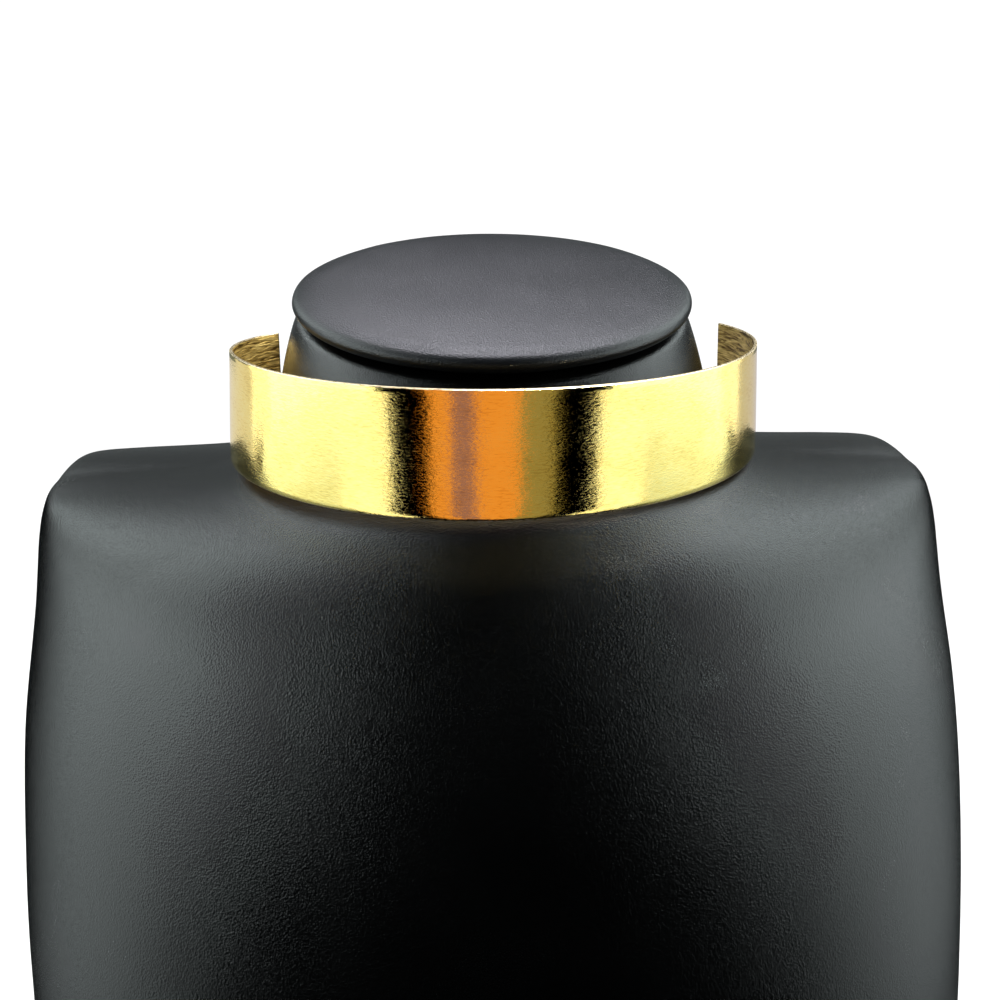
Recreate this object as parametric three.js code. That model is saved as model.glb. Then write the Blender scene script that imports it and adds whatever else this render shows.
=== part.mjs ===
// A rigid, open collar choker resting on a plain padded neck bust.
// Millimetres, +Z up, the bust's chest towards -Y, the origin under the middle of its flat base.
import * as THREE from 'three';

// ---- driving dimensions -------------------------------------------------------------------

const BASE_HEIGHT = 203;          // base to the middle of the collar's top rim
const NECK_AXIS_Y = 23;           // the neck's upright axis, behind the middle of the base

const collar = {
  halfWidth: 63,                  // outside, at the top rim: the front follows a half ellipse
  frontReach: 52.7,               // outside, from the widest line to the front
  height: 25.4,
  thickness: 0.8,
  flare: 0.103,                   // outward lean of the wall, mm per mm of height
  tilt: 12,                       // front lower than the back, degrees
  roll: 1.3,                      // right side higher, degrees
  turn: 8,                        // turned on the neck, degrees
  offsetX: 1,
  frontSegments: 96,
  bendSegments: 16,
};

// Each free end leaves the ellipse some degrees before its widest line and curls in on an arc.
const bends = {
  left: { leaveAngle: 10, radius: 19, sweep: 73 },
  right: { leaveAngle: 20, radius: 34, sweep: 39 },
};

const pad = {
  halfWidth: 47.5,                // the oval's widest line
  halfDepth: 36.2,
  tilt: 28,                       // front lower than the back, degrees
  offsetY: -2,                    // the oval's middle, from the neck axis
  height: 9.3,                    // and above the middle of the collar's top rim
  segments: 72,
};

// The pad's edge and crown: how far each ring is drawn in from the widest line, as a share of
// the half widths, and its height above that line.
const padRings = [
  { share: 0.955, height: -1.8 },
  { share: 0.985, height: -1.2 },
  { share: 1.0, height: 0 },
  { share: 0.993, height: 1.0 },
  { share: 0.972, height: 1.7 },
  { share: 0.93, height: 2.2 },
  { share: 0.8, height: 2.8 },
  { share: 0.55, height: 3.3 },
  { share: 0.28, height: 3.55 },
];

// The bust, ring by ring from the neck's top edge to the base. Each ring is a closed outline
// about the neck axis: half width, reach to the front and the back, how square its front and
// back corners are (2 is an ellipse), and its height at the front, the sides and the back.
// Heights are measured from the middle of the collar's top rim.
const ring = (width, front, back, frontPower, backPower, zFront, zSide, zBack) => ({
  width, front, back, frontPower, backPower, zFront, zSide, zBack,
});
const bustRings = [
  // neck
  ring(46.6, 32, 30.4, 2, 2, -9.65, 7.05, 23.3),
  ring(49.4, 35, 31, 2, 2.1, -17.2, -1, 11.6),
  ring(51.4, 39, 32.5, 2, 2.2, -26, -10, 1),
  ring(51.8, 43, 33.2, 2, 2.2, -32, -18, -10),
  // the turn from the neck out on to the shoulders
  ring(53.2, 46.8, 34.4, 2, 2.3, -37, -24, -20.5),
  ring(62.4, 51, 35.4, 2, 2.8, -43.2, -28.7, -26.5),
  ring(80, 57, 36.2, 2.1, 4, -52, -31, -29.4),
  // the shoulders' edge
  ring(106, 61, 36.6, 1.98, 5, -60, -32.8, -31),
  ring(108, 66.5, 37, 1.92, 6, -73.5, -36.2, -34),
  // chest, sides and back
  ring(110.4, 71.5, 37, 1.95, 6, -89, -54, -50),
  ring(115.4, 76.5, 37, 2.05, 6, -108, -89, -85),
  ring(117, 81, 37, 2.15, 6, -137, -130, -126),
  ring(117.4, 83, 37, 2.2, 6, -169, -166, -165),
  ring(116.4, 83, 37, 2.2, 6, -200.5, -200.5, -200.5),
];
const BUST_SEGMENTS = 80;         // points round each ring
const STEPS_PER_RING = 3;         // rings drawn between two rows of the table
const NECK_EDGE_INSET = 1.2;      // chamfer of the neck's top edge: inwards
const NECK_EDGE_DROP = 0.8;       // and down
const BASE_ROUNDING = 2.5;        // radius round the edge of the flat base

// ---- materials ----------------------------------------------------------------------------

const goldTone = () => new THREE.MeshStandardMaterial({
  color: 0xe6bf4a,
  roughness: 0.24,
  metalness: 1,
});
const blackLeatherette = () => new THREE.MeshStandardMaterial({
  color: 0x17181a,
  roughness: 0.5,
  metalness: 0,
});

// ---- helpers ------------------------------------------------------------------------------

const radians = THREE.MathUtils.degToRad;

// Monotone cubic through one column of a table, at row position t (0 is the first row).
function column(rows, key, t) {
  const last = rows.length - 1;
  const i = Math.min(Math.floor(t), last - 1);
  const s = t - i;
  const slope = (k) => rows[k + 1][key] - rows[k][key];
  const tangent = (k) => {
    if (k === 0) return slope(0);
    if (k === last) return slope(last - 1);
    const before = slope(k - 1);
    const after = slope(k);
    return before * after <= 0 ? 0 : (2 * before * after) / (before + after);
  };
  const a = rows[i][key];
  const b = rows[i + 1][key];
  const s2 = s * s;
  const s3 = s2 * s;
  return (2 * s3 - 3 * s2 + 1) * a + (s3 - 2 * s2 + s) * tangent(i)
    + (3 * s2 - 2 * s3) * b + (s3 - s2) * tangent(i + 1);
}

// A closed solid through rings of points, top ring first, each seen from above as clockwise
// from the front by way of +X. The first and last rings are closed with a fan to their middles.
function loft(rings) {
  const positions = [];
  const index = [];
  const count = rings[0].length;
  const addPoint = (p) => positions.push(p.x, p.y, p.z) / 3 - 1;
  const middle = (outline) => outline
    .reduce((sum, p) => sum.add(p), new THREE.Vector3())
    .divideScalar(outline.length);
  rings.forEach((outline) => outline.forEach(addPoint));
  for (let r = 0; r < rings.length - 1; r++) {
    for (let i = 0; i < count; i++) {
      const a = r * count + i;
      const b = r * count + (i + 1) % count;
      index.push(a, a + count, b, b, a + count, b + count);
    }
  }
  const top = addPoint(middle(rings[0]));
  const bottom = addPoint(middle(rings[rings.length - 1]));
  const start = (rings.length - 1) * count;
  for (let i = 0; i < count; i++) {
    const next = (i + 1) % count;
    index.push(top, i, next);
    index.push(bottom, start + next, start + i);
  }
  const geometry = new THREE.BufferGeometry();
  geometry.setAttribute('position', new THREE.Float32BufferAttribute(positions, 3));
  geometry.setIndex(index);
  geometry.computeVertexNormals();
  return geometry;
}

function piece(name, geometry, material) {
  const mesh = new THREE.Mesh(geometry, material);
  mesh.name = name;
  return mesh;
}

// ---- the collar ---------------------------------------------------------------------------

// The band's outer line at the top rim, seen from above, from the right free end round the
// front to the left one. Each sample is a point and the outward direction there.
function bandLine() {
  const frontSample = (angle) => ({
    point: new THREE.Vector2(collar.halfWidth * Math.sin(angle), -collar.frontReach * Math.cos(angle)),
    outward: new THREE.Vector2(
      collar.frontReach * Math.sin(angle),
      -collar.halfWidth * Math.cos(angle),
    ).normalize(),
  });
  // side is 1 on the right and -1 on the left
  const bendSamples = ({ leaveAngle, radius, sweep }, side) => {
    const start = frontSample(side * (Math.PI / 2 - radians(leaveAngle)));
    const centre = start.point.clone().addScaledVector(start.outward, -radius);
    return Array.from({ length: collar.bendSegments }, (_, i) => {
      const turned = side * radians(sweep) * (i + 1) / collar.bendSegments;
      const outward = start.outward.clone().rotateAround(new THREE.Vector2(), turned);
      return { point: centre.clone().addScaledVector(outward, radius), outward };
    });
  };
  const from = Math.PI / 2 - radians(bends.right.leaveAngle);
  const to = radians(bends.left.leaveAngle) - Math.PI / 2;
  const front = Array.from(
    { length: collar.frontSegments + 1 },
    (_, i) => frontSample(from + (to - from) * i / collar.frontSegments),
  );
  return [...bendSamples(bends.right, 1).reverse(), ...front, ...bendSamples(bends.left, -1)];
}

// The band is a strip of four-cornered sections along that line, so both cut ends are flat.
function buildCollar() {
  const line = bandLine();
  const positions = [];
  const index = [];
  line.forEach(({ point, outward }) => {
    const addCorner = (depth, inset) => {
      const corner = point.clone().addScaledVector(outward, collar.flare * depth - inset);
      positions.push(corner.x, corner.y, -depth);
    };
    addCorner(0, 0);
    addCorner(0, collar.thickness);
    addCorner(collar.height, collar.thickness);
    addCorner(collar.height, 0);
  });
  for (let i = 0; i < line.length - 1; i++) {
    for (let c = 0; c < 4; c++) {
      const a = i * 4 + c;
      const b = i * 4 + (c + 1) % 4;
      index.push(a, b, a + 4, b, b + 4, a + 4);
    }
  }
  const end = (line.length - 1) * 4;
  index.push(0, 2, 1, 0, 3, 2);
  index.push(end, end + 1, end + 2, end, end + 2, end + 3);
  const geometry = new THREE.BufferGeometry();
  geometry.setAttribute('position', new THREE.Float32BufferAttribute(positions, 3));
  geometry.setIndex(index);
  geometry.computeVertexNormals();
  const band = piece('collar_band', geometry, goldTone());
  band.rotation.order = 'ZYX';
  band.rotation.set(radians(collar.tilt), -radians(collar.roll), radians(collar.turn));
  band.position.set(collar.offsetX, NECK_AXIS_Y, BASE_HEIGHT);
  return band;
}

// ---- the bust -----------------------------------------------------------------------------

function buildBustBody() {
  const rings = [];
  const ringAt = (t, shrink, drop) => {
    const get = (key) => column(bustRings, key, t);
    const rise = (get('zFront') - get('zBack')) / 2;
    const bow = (get('zFront') + get('zBack')) / 2 - get('zSide');
    const outline = [];
    for (let i = 0; i < BUST_SEGMENTS; i++) {
      const angle = 2 * Math.PI * i / BUST_SEGMENTS;
      const c = Math.cos(angle);
      const s = Math.sin(angle);
      const power = get(c > 0 ? 'frontPower' : 'backPower');
      const reach = get(c > 0 ? 'front' : 'back') - shrink;
      const radius = (Math.abs(c) ** power + Math.abs(s) ** power) ** (-1 / power);
      const forward = THREE.MathUtils.clamp(c * radius, -1, 1);
      outline.push(new THREE.Vector3(
        (get('width') - shrink) * s * radius,
        NECK_AXIS_Y - reach * c * radius,
        BASE_HEIGHT + get('zSide') + rise * forward + bow * forward * forward - drop,
      ));
    }
    return outline;
  };
  const last = bustRings.length - 1;
  rings.push(ringAt(0, NECK_EDGE_INSET, 0));
  for (let k = 0; k <= last * STEPS_PER_RING; k++) {
    rings.push(ringAt(k / STEPS_PER_RING, 0, k === 0 ? NECK_EDGE_DROP : 0));
  }
  for (const turn of [45, 90]) {
    const inset = BASE_ROUNDING * (1 - Math.cos(radians(turn)));
    rings.push(ringAt(last, inset, BASE_ROUNDING * Math.sin(radians(turn))));
  }
  return piece('bust_body', loft(rings), blackLeatherette());
}

function buildBustCap() {
  const rings = padRings.map(({ share, height }) => {
    const outline = [];
    for (let i = 0; i < pad.segments; i++) {
      const angle = 2 * Math.PI * i / pad.segments;
      outline.push(new THREE.Vector3(
        pad.halfWidth * share * Math.sin(angle),
        -pad.halfDepth * share * Math.cos(angle),
        height,
      ));
    }
    return outline;
  });
  const cap = piece('bust_cap', loft(rings.reverse()), blackLeatherette());
  cap.rotation.x = radians(pad.tilt);
  cap.position.set(0, NECK_AXIS_Y + pad.offsetY, BASE_HEIGHT + pad.height);
  return cap;
}

// ---- the whole ----------------------------------------------------------------------------

const part = new THREE.Group();
part.name = 'collar_choker_on_neck_bust';
part.add(buildCollar(), buildBustBody(), buildBustCap());
export default part;
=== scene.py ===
"""Looks of the open gold-tone collar and the black leatherette neck bust that holds it.

Everything is in metres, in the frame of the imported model: +Z up, the chest towards -Y, the
origin under the middle of the bust's flat base. Shapes are refined from the frame's own nodes.
"""
import math

import bmesh
import bpy
import numpy as np
from mathutils import Matrix, Vector, noise


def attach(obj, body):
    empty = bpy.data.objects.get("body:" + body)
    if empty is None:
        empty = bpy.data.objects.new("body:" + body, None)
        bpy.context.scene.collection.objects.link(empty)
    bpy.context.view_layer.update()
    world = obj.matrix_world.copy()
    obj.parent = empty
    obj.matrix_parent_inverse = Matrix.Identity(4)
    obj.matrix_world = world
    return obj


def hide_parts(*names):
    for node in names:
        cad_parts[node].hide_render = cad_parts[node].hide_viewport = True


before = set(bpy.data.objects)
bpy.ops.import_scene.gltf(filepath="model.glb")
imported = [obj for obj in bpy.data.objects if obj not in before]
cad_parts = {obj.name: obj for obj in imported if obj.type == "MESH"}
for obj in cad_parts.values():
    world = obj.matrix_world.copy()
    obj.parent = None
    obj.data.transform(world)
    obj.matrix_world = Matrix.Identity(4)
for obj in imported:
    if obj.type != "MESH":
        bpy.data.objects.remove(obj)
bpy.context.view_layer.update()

MM = 0.001

# ---- camera: close to the collar and a little above its rim --------------------------------
LENS_MM = 29.74
SENSOR_MM = 36.0
CAMERA_FROM_COLLAR = Vector((-11.35, -205.26, -3.92)) * MM   # from the middle of the top rim
RIM_MIDDLE = Vector((0.0, 23.0, 203.0)) * MM
YAW_RIGHT = 3.42          # degrees
PITCH_DOWN = 10.26
ROLL = -0.89

# ---- collar finish -------------------------------------------------------------------------
EDGE_ROUND = 0.18 * MM    # rounding of the sheet's cut edges
FACE_ROWS = 26            # rows of faces down each wall of the band
SPLITS = 3                # steps from one of the frame's sections to the next
OUTSIDE, INSIDE, CUT = 0, 1, 2    # the band's kinds of face, in the order of its materials
OUTER_WAVE = 0.035 * MM   # slow unevenness of the hand-bent outside, and how long its waves are
OUTER_WAVE_LENGTH = 14.0 * MM
INNER_DENT = 0.05 * MM    # hammer marks of the inside, and how far apart they are
INNER_DENT_SPACING = 3.2 * MM

# ---- leatherette ---------------------------------------------------------------------------
BODY_SPLITS = 3           # steps from one of the frame's points to the next, both ways
PAD_SPLITS = 4
BODY_UNEVEN = (0.22 * MM, 30.0 * MM, 3.0)    # depth and length of the soft waves, and their start
PAD_UNEVEN = (0.10 * MM, 12.0 * MM, 7.0)
ROLL_UNEVEN = (0.06 * MM, 9.0 * MM, 11.0)
BODY_TINTS = ((0.0003, 0.0003, 0.0004), (0.0008, 0.0009, 0.0010))
BODY_ROUGHNESS = (0.22, 0.28)
PAD_TINTS = ((0.003, 0.004, 0.006), (0.006, 0.007, 0.010))
PAD_ROUGHNESS = (0.28, 0.36)
EASE_FROM = 0.42          # the rows of the bust, as shares from the neck down to the base, that
EASE_TO = 0.82            # are softened at the front
EASE_FADE_IN = 0.05       # the shares of the rows over which that comes in and goes out
EASE_FADE_OUT = 0.08
EASE_REACH = 0.97         # share of the bust's half width where the softening ends, and the share
EASE_SIDE_FADE = 0.20     # over which it fades before that
EASE_ROUNDS = 120
ROLL_RADIUS = 1.3 * MM    # the turned-in top edge of the neck's cover
ROLL_DROP = 1.5 * MM
ROLL_TUCK = 0.45          # share of its radius that lies inside the neck's surface
ROLL_SIDES = 16

# ---- reading the frame's nodes -------------------------------------------------------------
WELD = 0.02 * MM          # corners of a node that are closer than this are one
FAN_EDGES = 20            # the middle of a closed end has more edges than this
AHEAD = 0.01              # radians: a ring's front point counts as its first, and not its last


# ---- node helpers --------------------------------------------------------------------------
class Graph:
    """A material's node tree, with short calls for adding and linking nodes."""

    def __init__(self, name):
        self.material = bpy.data.materials.new(name)
        self.material.use_nodes = True
        self.tree = self.material.node_tree
        self.tree.nodes.clear()
        self.shader = self.add("ShaderNodeBsdfPrincipled")
        output = self.add("ShaderNodeOutputMaterial")
        self.link(self.shader.outputs["BSDF"], output.inputs["Surface"])

    def add(self, kind, **settings):
        node = self.tree.nodes.new(kind)
        for key, value in settings.items():
            setattr(node, key, value)
        return node

    def link(self, source, target):
        self.tree.links.new(source, target)

    def feed(self, socket, value):
        if isinstance(value, bpy.types.NodeSocket):
            self.link(value, socket)
        else:
            socket.default_value = value

    def coordinates(self, output, scale):
        mapping = self.add("ShaderNodeMapping")
        mapping.inputs["Scale"].default_value = scale
        self.link(self.add("ShaderNodeTexCoord").outputs[output], mapping.inputs["Vector"])
        return mapping.outputs["Vector"]

    def noise(self, vector, scale, detail=2.0, roughness=0.5, distortion=0.0):
        node = self.add("ShaderNodeTexNoise")
        self.link(vector, node.inputs["Vector"])
        node.inputs["Scale"].default_value = scale
        node.inputs["Detail"].default_value = detail
        node.inputs["Roughness"].default_value = roughness
        node.inputs["Distortion"].default_value = distortion
        return node.outputs["Fac"]

    def voronoi(self, vector, scale, feature="F1", output="Distance"):
        node = self.add("ShaderNodeTexVoronoi", feature=feature)
        self.link(vector, node.inputs["Vector"])
        node.inputs["Scale"].default_value = scale
        return node.outputs[output]

    def math(self, operation, a, b=0.0, c=0.0):
        node = self.add("ShaderNodeMath", operation=operation)
        for socket, value in zip(node.inputs, (a, b, c)):
            self.feed(socket, value)
        return node.outputs["Value"]

    def remap(self, value, low, high, to_low=0.0, to_high=1.0):
        node = self.add("ShaderNodeMapRange", clamp=True)
        node.inputs["From Min"].default_value = low
        node.inputs["From Max"].default_value = high
        node.inputs["To Min"].default_value = to_low
        node.inputs["To Max"].default_value = to_high
        self.link(value, node.inputs["Value"])
        return node.outputs["Result"]

    def ramp(self, value, stops):
        node = self.add("ShaderNodeValToRGB")
        elements = node.color_ramp.elements
        while len(elements) < len(stops):
            elements.new(0.5)
        for element, (position, colour) in zip(elements, stops):
            element.position = position
            element.color = (*colour, 1.0)
        self.link(value, node.inputs["Fac"])
        return node.outputs["Color"]

    def bump(self, height, distance, strength=1.0, below=None):
        node = self.add("ShaderNodeBump")
        node.inputs["Strength"].default_value = strength
        node.inputs["Distance"].default_value = distance
        self.link(height, node.inputs["Height"])
        if below is not None:
            self.link(below, node.inputs["Normal"])
        return node.outputs["Normal"]


# ---- materials -----------------------------------------------------------------------------
# A map's scale is in repeats a metre: the first number along the band and the second across it.
def gold_outside():
    """Bright gold tone: fine lines along the band, with a stipple of small flecks."""
    g = Graph("gold_outside")
    lines = g.noise(g.coordinates("UV", (110.0, 3800.0, 1.0)), 1.0, detail=4.0, roughness=0.6)
    dashes = g.noise(g.coordinates("UV", (620.0, 3100.0, 1.0)), 1.0, detail=3.0, distortion=0.6)
    flecks = g.noise(g.coordinates("UV", (1100.0, 3200.0, 1.0)), 1.0, detail=5.0, distortion=0.6)
    patches = g.noise(g.coordinates("UV", (120.0, 160.0, 1.0)), 1.0, detail=3.0)
    nicks = g.noise(g.coordinates("UV", (420.0, 300.0, 1.0)), 1.0, detail=1.0)
    nick = g.remap(nicks, 0.17, 0.20)
    cover = g.remap(patches, 0.25, 0.75, 0.6, 1.0)
    stipple = g.math("MULTIPLY", g.remap(flecks, 0.42, 0.66), cover)
    normal = g.bump(stipple, 0.0085 * MM)
    normal = g.bump(lines, 0.003 * MM, below=normal)
    normal = g.bump(patches, 0.05 * MM, below=normal)
    normal = g.bump(nick, 0.05 * MM, below=normal)
    g.link(normal, g.shader.inputs["Normal"])
    tone = g.math("ADD", g.math("MULTIPLY", dashes, 0.65), g.math("MULTIPLY", patches, 0.35))
    stops = [(0.36, (0.86, 0.66, 0.19)), (0.45, (0.99, 0.79, 0.24)), (0.66, (1.0, 0.86, 0.32))]
    g.link(g.ramp(tone, stops), g.shader.inputs["Base Color"])
    g.link(g.remap(patches, 0.3, 0.7, 0.02, 0.05), g.shader.inputs["Roughness"])
    g.shader.inputs["Metallic"].default_value = 1.0
    return g.material


def gold_inside():
    """The hammered inside: coarse wavy ridges along the band, browner and duller, with painted shade
    in the ridges' hollows and painted highlights on their crests.
    """
    g = Graph("gold_inside")
    ridges = g.noise(g.coordinates("UV", (170.0, 1100.0, 1.0)), 1.0, detail=3.0, distortion=1.4)
    scratches = g.noise(g.coordinates("UV", (300.0, 4200.0, 1.0)), 1.0, detail=2.0)
    normal = g.bump(ridges, 0.34 * MM)
    normal = g.bump(scratches, 0.02 * MM, below=normal)
    g.link(normal, g.shader.inputs["Normal"])
    # painted shade and highlight: the colour follows the ridges that make the bump, dark in their
    # hollows and bright on their crests
    stops = [(0.38, (0.15, 0.09, 0.02)), (0.50, (0.56, 0.40, 0.12)), (0.65, (0.85, 0.66, 0.24))]
    g.link(g.ramp(ridges, stops), g.shader.inputs["Base Color"])
    g.link(g.remap(scratches, 0.3, 0.7, 0.38, 0.55), g.shader.inputs["Roughness"])
    g.shader.inputs["Metallic"].default_value = 1.0
    return g.material


def gold_edge():
    """The sheet's cut edge, its gold paled towards white as a painted highlight of the white it
    reflects, with a faint mottle.
    """
    g = Graph("gold_edge")
    edge_mottle = g.noise(g.coordinates("UV", (900.0, 3000.0, 1.0)), 1.0, detail=3.0)
    g.link(g.bump(edge_mottle, 0.03 * MM), g.shader.inputs["Normal"])
    # painted highlight: the pale stops stand in for the white that the cut edge reflects
    stops = [(0.3, (0.95, 0.72, 0.36)), (0.7, (1.0, 0.88, 0.66))]
    g.link(g.ramp(edge_mottle, stops), g.shader.inputs["Base Color"])
    g.link(g.remap(edge_mottle, 0.3, 0.7, 0.22, 0.4), g.shader.inputs["Roughness"])
    g.shader.inputs["Metallic"].default_value = 1.0
    return g.material


def leatherette(name, tint_low, tint_high, rough_low, rough_high):
    """Black coated leather cloth: fine pebble grain, soft satin sheen."""
    g = Graph(name)
    place = g.coordinates("Object", (1.0, 1.0, 1.0))
    pebble = g.voronoi(place, 2600.0)
    fine = g.noise(place, 5000.0, detail=2.0)
    broad = g.noise(place, 45.0, detail=3.0)
    grain = g.math("ADD", g.math("MULTIPLY", pebble, 0.7), g.math("MULTIPLY", fine, 0.6))
    normal = g.bump(grain, 0.10 * MM, strength=0.85)
    normal = g.bump(g.noise(place, 900.0, detail=2.0), 0.02 * MM, strength=0.4, below=normal)
    g.link(normal, g.shader.inputs["Normal"])
    g.link(g.ramp(broad, [(0.3, tint_low), (0.7, tint_high)]), g.shader.inputs["Base Color"])
    worn = g.math("ADD", g.math("MULTIPLY", broad, 0.6), g.math("MULTIPLY", fine, 0.4))
    g.link(g.remap(worn, 0.3, 0.7, rough_low, rough_high), g.shader.inputs["Roughness"])
    g.shader.inputs["Specular IOR Level"].default_value = 0.9
    return g.material


# ---- meshes --------------------------------------------------------------------------------
def welded(node):
    """A bmesh of a frame node with its split corners joined and its triangles paired."""
    mesh = bmesh.new()
    mesh.from_mesh(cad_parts[node].data)
    bmesh.ops.remove_doubles(mesh, verts=mesh.verts, dist=WELD)
    bmesh.ops.join_triangles(
        mesh, faces=mesh.faces, angle_face_threshold=math.radians(40),
        angle_shape_threshold=math.radians(80), cmp_seam=False,
    )
    return mesh


def new_object(name, mesh_data, *materials):
    piece = bpy.data.objects.new(name, mesh_data)
    bpy.context.scene.collection.objects.link(piece)
    for material in materials:
        mesh_data.materials.append(material)
    return piece


def push(data, amount):
    """Moves every point of a mesh along its normal by what amount(index, place) gives."""
    count = len(data.vertices)
    places = np.empty(count * 3, dtype=np.float32)
    normals = np.empty(count * 3, dtype=np.float32)
    data.vertices.foreach_get("co", places)
    data.vertex_normals.foreach_get("vector", normals)
    places = places.reshape(-1, 3)
    moves = np.array([amount(i, Vector(p)) for i, p in enumerate(places)], dtype=np.float32)
    places = places + normals.reshape(-1, 3) * moves[:, None]
    data.vertices.foreach_set("co", places.ravel())
    data.update()


def uneven(piece, waves):
    """Soft waves over a whole surface, given as their depth, length and start."""
    depth, length, start = waves
    offset = Vector((start, 0.0, 0.0))
    push(piece.data, lambda _, place: noise.noise(place / length + offset) * depth)


def smooth(piece):
    for polygon in piece.data.polygons:
        polygon.use_smooth = True


def rings_of(node):
    """A lofted node of the frame as an array of rings, top to bottom, each from the front by
    way of +X, and the two middles that close it."""
    mesh = bmesh.new()
    mesh.from_mesh(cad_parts[node].data)
    bmesh.ops.remove_doubles(mesh, verts=mesh.verts, dist=WELD)
    fans = [v for v in mesh.verts if len(v.link_edges) > FAN_EDGES]
    top, bottom = sorted(fans, key=lambda v: -v.co.z)
    rings = []
    seen = {top}
    current = {top}
    while bottom not in current:
        current = {edge.other_vert(v) for v in current for edge in v.link_edges} - seen
        seen |= current
        places = np.array([v.co for v in current])
        x, y = places[:, 0], places[:, 1] - places[:, 1].mean()
        turn = np.mod(np.arctan2(x, -y) + AHEAD, 2 * math.pi)
        rings.append(places[np.argsort(turn)])
    middles = np.array(top.co), np.array(bottom.co)
    mesh.free()
    return np.array(rings[:-1]), middles


def refine(grid, splits, closed):
    """Adds rows between the rows of a grid of points, on smooth curves through them."""
    step = np.roll(grid, -1, axis=0) - grid
    length = np.linalg.norm(step, axis=-1).mean(axis=-1)[:, None, None]
    slope = step / length
    back = np.roll(length, 1, axis=0)
    tangent = (np.roll(slope, 1, axis=0) * length + slope * back) / (back + length)
    if not closed:
        tangent[0] = slope[0]
        tangent[-1] = slope[-2]
    rows = []
    for i in range(len(grid) if closed else len(grid) - 1):
        j = (i + 1) % len(grid)
        for t in np.arange(splits) / splits:
            place = (2 * t ** 3 - 3 * t ** 2 + 1) * grid[i] + (3 * t ** 2 - 2 * t ** 3) * grid[j]
            bend = (t ** 3 - 2 * t ** 2 + t) * tangent[i] + (t ** 3 - t ** 2) * tangent[j]
            rows.append(place + bend * length[i])
    if not closed:
        rows.append(grid[-1])
    return np.array(rows)


def grid_object(name, grid, middles, material):
    """A closed skin over a grid of rings, with a fan at each end unless the rings close on
    themselves."""
    rows, count = grid.shape[:2]
    places = grid.reshape(-1, 3).tolist()
    faces = []
    spans = rows - 1 if middles is not None else rows
    for r in range(spans):
        below = (r + 1) % rows
        for i in range(count):
            j = (i + 1) % count
            faces.append((r * count + i, below * count + i, below * count + j, r * count + j))
    if middles is not None:
        for row, middle in zip((0, rows - 1), middles):
            centre = len(places)
            start = row * count
            places.append(list(middle))
            faces += [(centre, start + i, start + (i + 1) % count) for i in range(count)]
    data = bpy.data.meshes.new(name)
    data.from_pydata(places, [], faces)
    mesh = bmesh.new()
    mesh.from_mesh(data)
    bmesh.ops.recalc_face_normals(mesh, faces=mesh.faces)
    mesh.to_mesh(data)
    mesh.free()
    piece = new_object(name, data, material)
    smooth(piece)
    return piece


def eased(grid):
    """Softens the shoulder's edge where it runs forward over the chest, where the cover is
    stretched over a round form. The edge keeps its shape at the sides and the back."""
    rows, count = grid.shape[:2]
    turn = 2 * math.pi * np.arange(count) / count
    across = np.abs(grid[rows // 2, :, 0]) / np.abs(grid[rows // 2, :, 0]).max()
    forward = np.clip((EASE_REACH - across) / EASE_SIDE_FADE, 0.0, 1.0) * (np.cos(turn) > 0.0)
    share = np.arange(rows) / (rows - 1)
    coming = np.clip((share - EASE_FROM) / EASE_FADE_IN, 0.0, 1.0)
    going = np.clip((EASE_TO - share) / EASE_FADE_OUT, 0.0, 1.0)
    weight = 0.5 * (coming * going)[1:-1, None, None] * forward[None, :, None]
    for _ in range(EASE_ROUNDS):
        grid[1:-1] += weight * ((grid[:-2] + grid[2:]) / 2 - grid[1:-1])
    return grid


def soft_solid(name, node, splits, waves, material, ease=False):
    """A frame node's rings drawn finely, with the slow unevenness of a cover drawn by hand."""
    rings, middles = rings_of(node)
    grid = refine(rings, splits, closed=False)
    grid = np.swapaxes(refine(np.swapaxes(grid, 0, 1), splits, closed=True), 0, 1)
    if ease:
        grid = eased(grid)
    piece = grid_object(name, grid, middles, material)
    uneven(piece, waves)
    return piece


def neck_roll(material):
    """The turned-in edge of the neck's cover, a soft roll just under the pad."""
    rings, _ = rings_of("bust_body")
    path = refine(rings[1][:, None, :], BODY_SPLITS, closed=True)[:, 0, :]
    ahead = np.roll(path, -1, axis=0) - np.roll(path, 1, axis=0)
    out = np.stack([ahead[:, 1], -ahead[:, 0], np.zeros(len(path))], axis=1)
    out /= np.linalg.norm(out, axis=1)[:, None]
    out *= np.sign((out * (path - path.mean(axis=0))).sum(axis=1))[:, None]
    up = np.array([0.0, 0.0, 1.0])
    middle = path - up * ROLL_DROP - out * ROLL_RADIUS * ROLL_TUCK
    turns = [2 * math.pi * k / ROLL_SIDES for k in range(ROLL_SIDES)]
    grid = np.array([middle + ROLL_RADIUS * (math.cos(t) * out + math.sin(t) * up) for t in turns])
    roll = grid_object("bust_leather_neck_roll", grid, None, material)
    uneven(roll, ROLL_UNEVEN)
    return roll


def from_middle(corner):
    """How far a corner of the collar is from the collar's middle, looking down."""
    return math.hypot(corner.co.x - RIM_MIDDLE.x, corner.co.y - RIM_MIDDLE.y)


def band_sections():
    """The frame's collar as a list of sections, each its four corners in order: outer top,
    inner top, inner bottom, outer bottom. The list runs from the right free end to the left."""
    mesh = welded("collar_band")
    ends = [v for v in mesh.verts if len(v.link_edges) == 3]
    current = [v for v in ends if v.co.x > 0]
    seen = set()
    sections = []
    while current:
        seen.update(current)
        by_height = sorted(current, key=lambda v: v.co.z)
        inner_bottom, outer_bottom = sorted(by_height[:2], key=from_middle)
        inner_top, outer_top = sorted(by_height[2:], key=from_middle)
        sections.append([v.co.copy() for v in (outer_top, inner_top, inner_bottom, outer_bottom)])
        current = [
            other for v in current for edge in v.link_edges
            for other in [edge.other_vert(v)] if other not in seen
        ]
    mesh.free()
    return sections


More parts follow.
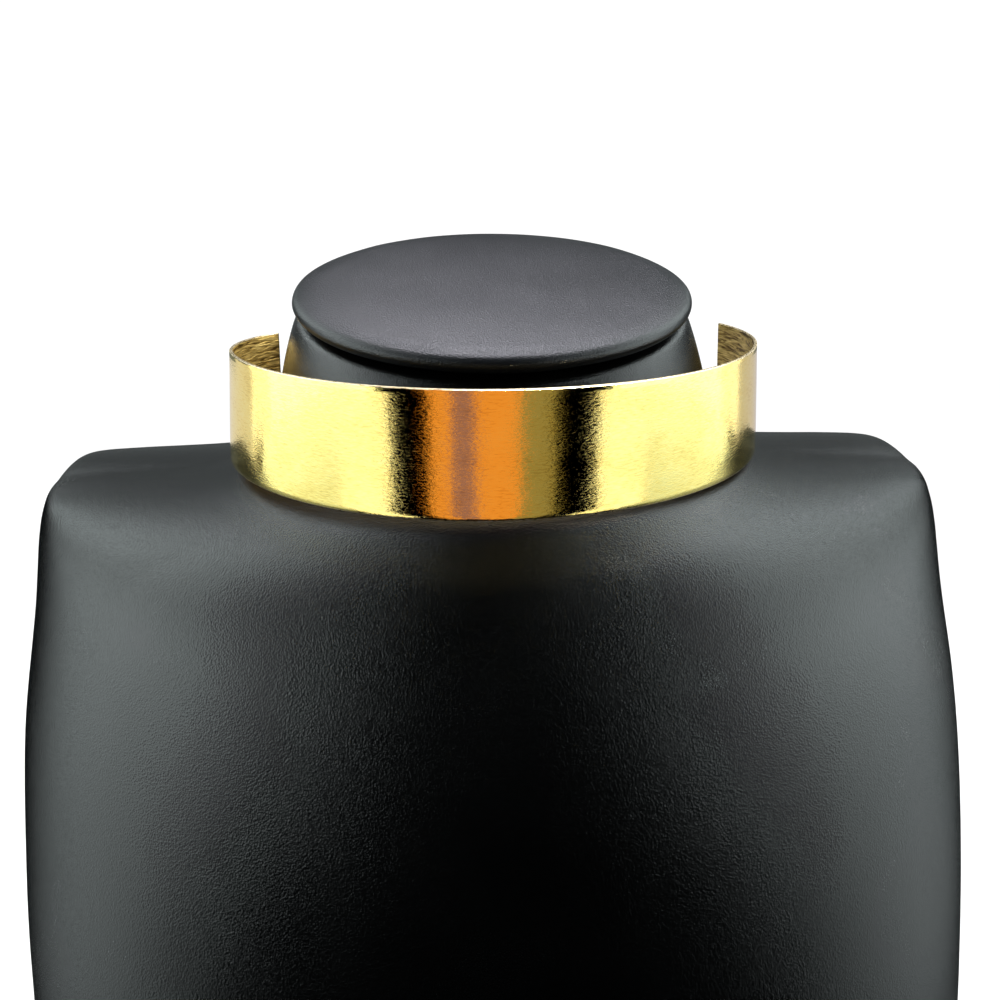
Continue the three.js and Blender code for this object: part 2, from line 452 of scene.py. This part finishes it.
def section_loop(corners):
    """Points round one section of the sheet, with rounded cut edges, and the kind of face that
    follows each point."""
    outer_top, inner_top, inner_bottom, outer_bottom = corners
    points = []
    kinds = []

    def wall(start, end, kind):
        down = (end - start).normalized()
        a = start + down * EDGE_ROUND
        b = end - down * EDGE_ROUND
        for i in range(FACE_ROWS + 1):
            points.append(a.lerp(b, i / FACE_ROWS))
            kinds.append(kind if i < FACE_ROWS else CUT)

    def edge(start, end):
        across = (end - start).normalized() * EDGE_ROUND
        points.extend((start + across, end - across))
        kinds.extend((CUT, CUT))

    wall(outer_top, outer_bottom, OUTSIDE)
    edge(outer_bottom, inner_bottom)
    wall(inner_bottom, inner_top, INSIDE)
    edge(inner_top, outer_top)
    return points, kinds


def between(a, b, c, d, t):
    """The point at share t from b to c, on a smooth curve through a, b, c and d."""
    bend = (2 * a - 5 * b + 4 * c - d) * t * t + (3 * b - a - 3 * c + d) * t ** 3
    return 0.5 * (2 * b + (c - a) * t + bend)


def fine_sections():
    """The collar's sections with more between them, on smooth curves."""
    sections = band_sections()
    last = len(sections) - 1
    fine = []
    for i in range(last):
        near = (sections[max(i - 1, 0)], sections[i], sections[i + 1], sections[min(i + 2, last)])
        for k in range(SPLITS):
            fine.append([between(*corners, k / SPLITS) for corners in zip(*near)])
    fine.append(sections[last])
    return fine


def dent_band(piece):
    """Slow waves outside and hammer marks inside. The cut edges keep their place."""
    polygons = piece.data.polygons
    outside = {v for p in polygons if p.material_index == OUTSIDE for v in p.vertices}
    inside = {v for p in polygons if p.material_index == INSIDE for v in p.vertices}

    def wave(i, place):
        if i in outside:
            return (noise.noise(place / OUTER_WAVE_LENGTH) - 0.5) * OUTER_WAVE
        if i in inside:
            return (noise.noise(place / INNER_DENT_SPACING) - 0.5) * INNER_DENT
        return 0.0

    push(piece.data, wave)


def build_band():
    """The collar as one closed skin, with a map that runs along the band and round its section."""
    mesh = bmesh.new()
    uv_layer = mesh.loops.layers.uv.new("along_band")
    loops = []
    arc = 0.0
    arcs = []
    previous = None
    for corners in fine_sections():
        points, kinds = section_loop(corners)
        loops.append([mesh.verts.new(p) for p in points])
        if previous is not None:
            arc += (corners[0] - previous).length
        previous = corners[0]
        arcs.append(arc)
    girth = len(kinds)
    steps = [0.0]
    for j in range(girth):
        steps.append(steps[-1] + (points[(j + 1) % girth] - points[j]).length)
    for i in range(len(loops) - 1):
        for j in range(girth):
            k = (j + 1) % girth
            face = mesh.faces.new((loops[i][j], loops[i][k], loops[i + 1][k], loops[i + 1][j]))
            face.material_index = kinds[j]
            uvs = (
                (arcs[i], steps[j]), (arcs[i], steps[j + 1]),
                (arcs[i + 1], steps[j + 1]), (arcs[i + 1], steps[j]),
            )
            for loop, uv in zip(face.loops, uvs):
                loop[uv_layer].uv = uv
    for loop in (loops[0], loops[-1]):
        cap = mesh.faces.new(loop)
        cap.material_index = CUT
    bmesh.ops.recalc_face_normals(mesh, faces=mesh.faces)
    data = bpy.data.meshes.new("collar_band_metal")
    mesh.to_mesh(data)
    mesh.free()
    piece = new_object("collar_band_metal", data, gold_outside(), gold_inside(), gold_edge())
    dent_band(piece)
    smooth(piece)
    return piece


# ---- studio --------------------------------------------------------------------------------
GLOW_MOST = 4.0           # the glow that a graded card's white stands for
MIDDLE_STOP = 0.75        # share of a soft box's height where its middle glow is
CARD_STEP = 4             # degrees of bearing to each face of a card
FLOOR_REACH = 6.0
FLOOR_GLOW = 1.02
WORLD_GLOW = 1.1

# The area lights: place, target, size, power and colour.
TOP_LIGHT = ((0.05, 0.22, 1.1), (0.0, 0.02, 0.2), (0.7, 0.26), 4.9, (0.92, 0.91, 1.0))
RIM_LIGHT = ((0.22, -0.40, 0.56), (-0.03, 0.03, 0.2), (0.3, 0.3), 25.0, (1.0, 0.96, 0.9))


def plain_material(name, colour, glow, base=0.0):
    """A dull material that glows evenly."""
    g = Graph(name)
    g.shader.inputs["Base Color"].default_value = (base, base, base, 1.0)
    g.shader.inputs["Roughness"].default_value = 0.9
    g.shader.inputs["Specular IOR Level"].default_value = 0.0
    g.shader.inputs["Emission Color"].default_value = (*colour, 1.0)
    g.shader.inputs["Emission Strength"].default_value = glow
    return g.material


def graded(name, colour, stops):
    """A glowing card whose glow changes with its height: stops are (share of height, glow)."""
    material = plain_material(name, colour, 1.0)
    tree = material.node_tree
    place = tree.nodes.new("ShaderNodeTexCoord")
    split = tree.nodes.new("ShaderNodeSeparateXYZ")
    ramp = tree.nodes.new("ShaderNodeValToRGB")
    ramp.color_ramp.interpolation = "EASE"
    scale = tree.nodes.new("ShaderNodeMath")
    scale.operation = "MULTIPLY"
    scale.inputs[1].default_value = GLOW_MOST
    elements = ramp.color_ramp.elements
    while len(elements) < len(stops):
        elements.new(0.5)
    for element, (share, glow) in zip(elements, stops):
        element.position = share
        element.color = (*[glow / GLOW_MOST] * 3, 1.0)
    tree.links.new(place.outputs["UV"], split.inputs["Vector"])
    tree.links.new(split.outputs["Y"], ramp.inputs["Fac"])
    tree.links.new(ramp.outputs["Color"], scale.inputs[0])
    tree.links.new(scale.outputs[0], tree.nodes["Principled BSDF"].inputs["Emission Strength"])
    return material


def card(name, start, end, distance, low, high, material):
    """An upright curved card about the middle of the base, from one bearing to another (in
    degrees from straight ahead, right positive), seen only in reflections and as light."""
    mesh = bmesh.new()
    uv_layer = mesh.loops.layers.uv.new("card")
    steps = max(2, int(abs(end - start) / CARD_STEP))
    rows = []
    for i in range(steps + 1):
        angle = math.radians(start + (end - start) * i / steps)
        x = distance * math.sin(angle)
        y = -distance * math.cos(angle)
        rows.append([mesh.verts.new((x, y, z)) for z in (low, high)])
    for i in range(steps):
        face = mesh.faces.new((rows[i][0], rows[i + 1][0], rows[i + 1][1], rows[i][1]))
        uvs = ((i / steps, 0), ((i + 1) / steps, 0), ((i + 1) / steps, 1), (i / steps, 1))
        for loop, uv in zip(face.loops, uvs):
            loop[uv_layer].uv = uv
    data = bpy.data.meshes.new(name)
    mesh.to_mesh(data)
    mesh.free()
    piece = new_object(name, data, material)
    piece.visible_camera = False
    piece.visible_shadow = False
    return piece


# The things round about that show only in the polished collar: where each starts and ends, its
# distance, its foot and head, its colour and its glow.
POLISH_CARDS = [
    ("card_warm_left", -23.0, -14.5, 0.43, -0.5, 0.6, (0.83, 0.33, 0.085), 1.0),
    ("card_grey", -14.5, -5.5, 0.43, -0.5, 0.6, (0.40, 0.20, 0.30), 0.8),
    ("card_warm_right", -5.5, 11.5, 0.43, -0.5, 0.6, (0.84, 0.33, 0.085), 0.98),
    ("card_olive", 11.5, 24.0, 0.43, -0.5, 0.6, (0.30, 0.25, 0.13), 1.0),
    ("box_pale_left", -60.0, -38.0, 0.55, -0.5, 0.11, (1.0, 1.0, 1.0), 1.35),
    ("box_pale_right", 40.5, 60.0, 0.55, -0.5, 0.11, (1.0, 1.0, 1.0), 1.35),
    ("box_side_left", -112.0, -97.0, 0.55, 0.11, 0.35, (1.0, 1.0, 1.0), 1.35),
    ("box_side_right", 99.0, 114.0, 0.55, 0.11, 0.35, (1.0, 1.0, 1.0), 1.35),
    ("wall_pale_left", -178.0, -112.0, 0.56, -0.5, 0.3, (0.72, 0.70, 0.72), 1.05),
    ("wall_pale_right", 114.0, 178.0, 0.56, -0.5, 0.3, (0.60, 0.57, 0.62), 1.0),
]

# The soft boxes that light everything: the same, with the glow at the foot, three quarters of the
# way up, and at the head.
SOFT_BOXES = [
    ("box_low_left", -104.0, -60.0, 0.55, -0.5, 0.11, 0.0, 0.9, 1.35),
    ("box_low_right", 60.0, 106.0, 0.55, -0.5, 0.11, 0.0, 0.8, 1.35),
    ("box_left", -97.0, -42.0, 0.55, 0.11, 0.5, 2.0, 2.0, 2.0),
    ("box_right", 44.5, 99.0, 0.55, 0.11, 0.5, 2.0, 2.0, 2.0),
    ("box_high_left", -130.0, -65.0, 0.55, 0.5, 1.25, 2.5, 2.5, 1.2),
    ("box_high_right", 65.0, 130.0, 0.55, 0.5, 1.25, 2.5, 2.5, 1.2),
    ("wall_left", -178.0, -130.0, 0.55, 0.2, 0.8, 0.2, 0.2, 0.1),
    ("wall_right", 132.0, 178.0, 0.55, 0.2, 0.8, 0.2, 0.2, 0.1),
]
BOX_TINT = (0.90, 1.0, 1.0)


def build_cards(metal):
    """The soft boxes, and the cards and the light that only the given metal piece sees."""
    for name, start, end, distance, low, high, foot, middle, head in SOFT_BOXES:
        material = graded(name, BOX_TINT, [(0.0, foot), (MIDDLE_STOP, middle), (1.0, head)])
        card(name, start, end, distance, low, high, material)
    receivers = bpy.data.collections.new("polished")
    receivers.objects.link(metal)
    lit = []
    for name, start, end, distance, low, high, colour, glow in POLISH_CARDS:
        lit.append(card(name, start, end, distance, low, high, plain_material(name, colour, glow)))
    lit.append(area_light("rim", *RIM_LIGHT))
    for piece in lit:
        piece.light_linking.receiver_collection = receivers


def area_light(name, place, target, size, power, colour):
    data = bpy.data.lights.new(name, "AREA")
    data.shape = "RECTANGLE"
    data.size, data.size_y = size
    data.energy = power
    data.color = colour
    light = bpy.data.objects.new(name, data)
    bpy.context.scene.collection.objects.link(light)
    light.location = place
    light.rotation_euler = (Vector(target) - Vector(place)).to_track_quat("-Z", "Y").to_euler()
    light.visible_camera = False
    return light


def build_floor():
    """A pale floor that glows to the eye only."""
    data = bpy.data.meshes.new("floor")
    signs = ((-1, -1), (1, -1), (1, 1), (-1, 1))
    corners = [(x * FLOOR_REACH, y * FLOOR_REACH, 0.0) for x, y in signs]
    data.from_pydata(corners, [], [(0, 1, 2, 3)])
    pale = plain_material("floor_pale", (1.0, 1.0, 1.0), FLOOR_GLOW, base=0.3)
    floor = new_object("floor", data, pale)
    floor.visible_glossy = False
    floor.visible_diffuse = False


def build_light():
    """A white surround that only the camera sees, and the light from above."""
    world = bpy.data.worlds.new("studio")
    bpy.context.scene.world = world
    world.use_nodes = True
    background = world.node_tree.nodes["Background"]
    background.inputs["Color"].default_value = (1.0, 1.0, 1.0, 1.0)
    background.inputs["Strength"].default_value = WORLD_GLOW
    world.cycles_visibility.glossy = False
    world.cycles_visibility.diffuse = False
    area_light("top", *TOP_LIGHT)


def build_camera():
    """The camera, placed from the middle of the collar's top rim."""
    data = bpy.data.cameras.new("camera")
    data.lens = LENS_MM
    data.sensor_width = SENSOR_MM
    data.clip_start = 0.01
    camera = bpy.data.objects.new("camera", data)
    bpy.context.scene.collection.objects.link(camera)
    turn = Matrix.Rotation(math.radians(-YAW_RIGHT), 4, "Z")
    pitch = Matrix.Rotation(math.radians(90.0 - PITCH_DOWN), 4, "X")
    roll = Matrix.Rotation(math.radians(ROLL), 4, "Z")
    place = Matrix.Translation(RIM_MIDDLE + CAMERA_FROM_COLLAR)
    camera.matrix_world = place @ turn @ pitch @ roll
    bpy.context.scene.camera = camera


# ---- the whole -----------------------------------------------------------------------------
def finish_piece(piece, node):
    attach(piece, "root")
    if node:
        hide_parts(node)


build_camera()
build_light()
build_floor()

bpy.context.scene.view_settings.view_transform = "Standard"

band = build_band()
finish_piece(band, "collar_band")
build_cards(band)

body_leather = leatherette("leatherette_body", *BODY_TINTS, *BODY_ROUGHNESS)
body = soft_solid("bust_leather_body", "bust_body", BODY_SPLITS, BODY_UNEVEN, body_leather, ease=True)
finish_piece(body, "bust_body")

roll = neck_roll(body_leather)
finish_piece(roll, None)

pad_leather = leatherette("leatherette_pad", *PAD_TINTS, *PAD_ROUGHNESS)
pad = soft_solid("bust_leather_pad", "bust_cap", PAD_SPLITS, PAD_UNEVEN, pad_leather)
finish_piece(pad, "bust_cap")
